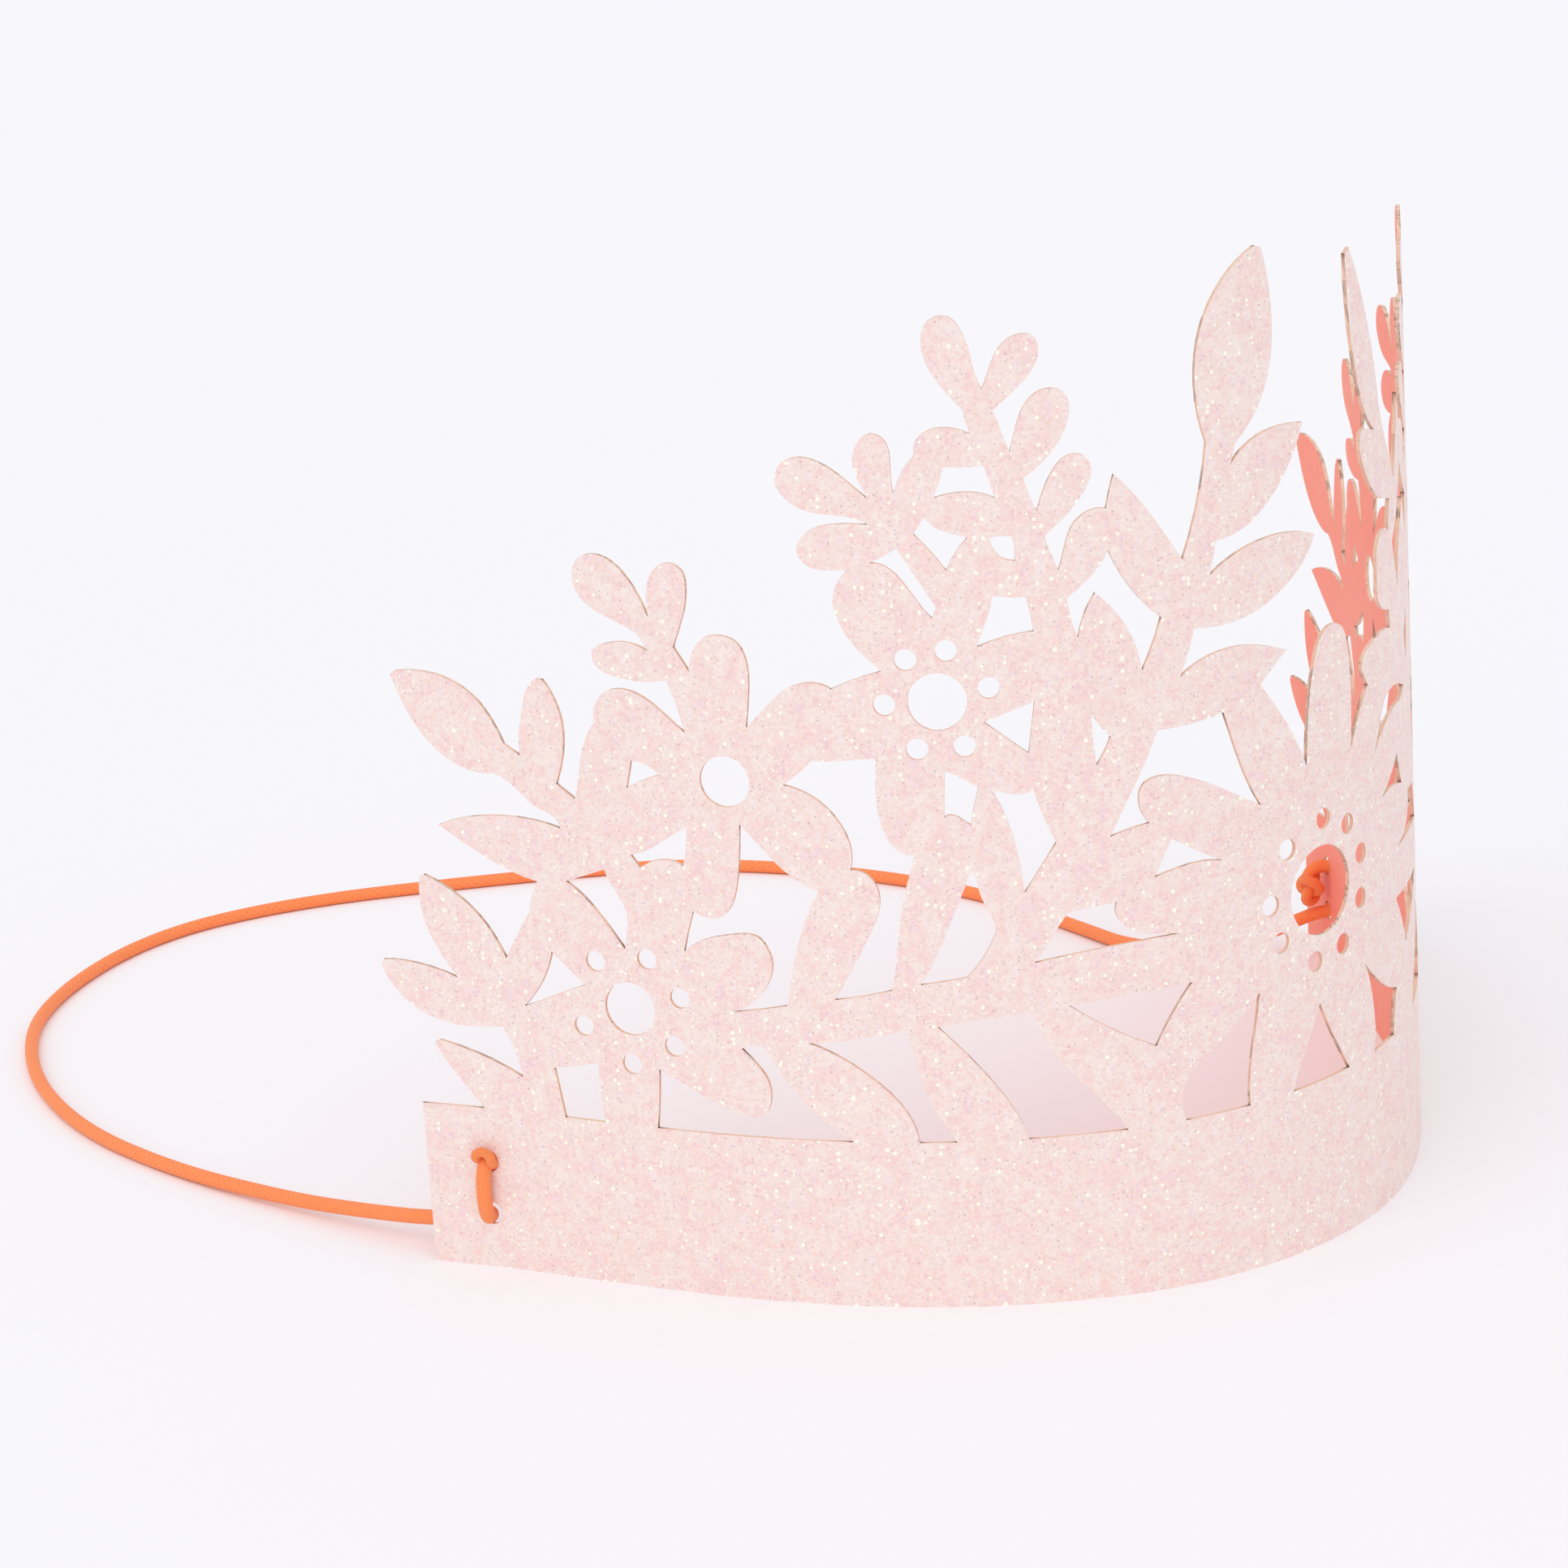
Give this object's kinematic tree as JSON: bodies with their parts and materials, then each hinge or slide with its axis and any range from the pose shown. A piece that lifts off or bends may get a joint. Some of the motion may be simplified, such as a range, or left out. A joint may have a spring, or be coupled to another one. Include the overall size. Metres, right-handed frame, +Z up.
{
  "type": "paper crown",
  "caption": "Open paper crown of bent glitter card with punched flowers and leaf sprays above a plain band, and an elastic cord tied through holes at its ends.",
  "frame": {"origin": "on the table, under the centre of the card's bounding box, cord left out", "axes": "+Z up; -Y towards the front of the crown, where the daisy is; +Y towards its open back; +X to the wearer's left"},
  "size_m": [0.172, 0.2293, 0.1298],
  "materials": {
    "glitter_card": "fine glitter on a pale pink front, smooth coral back",
    "elastic": "matte braided elastic"
  },
  "bodies": {
    "root": {"crown_sheet": "glitter_card", "elastic_cord": "elastic", "left_knot": "elastic", "right_knot": "elastic"}
  },
  "joints": []
}
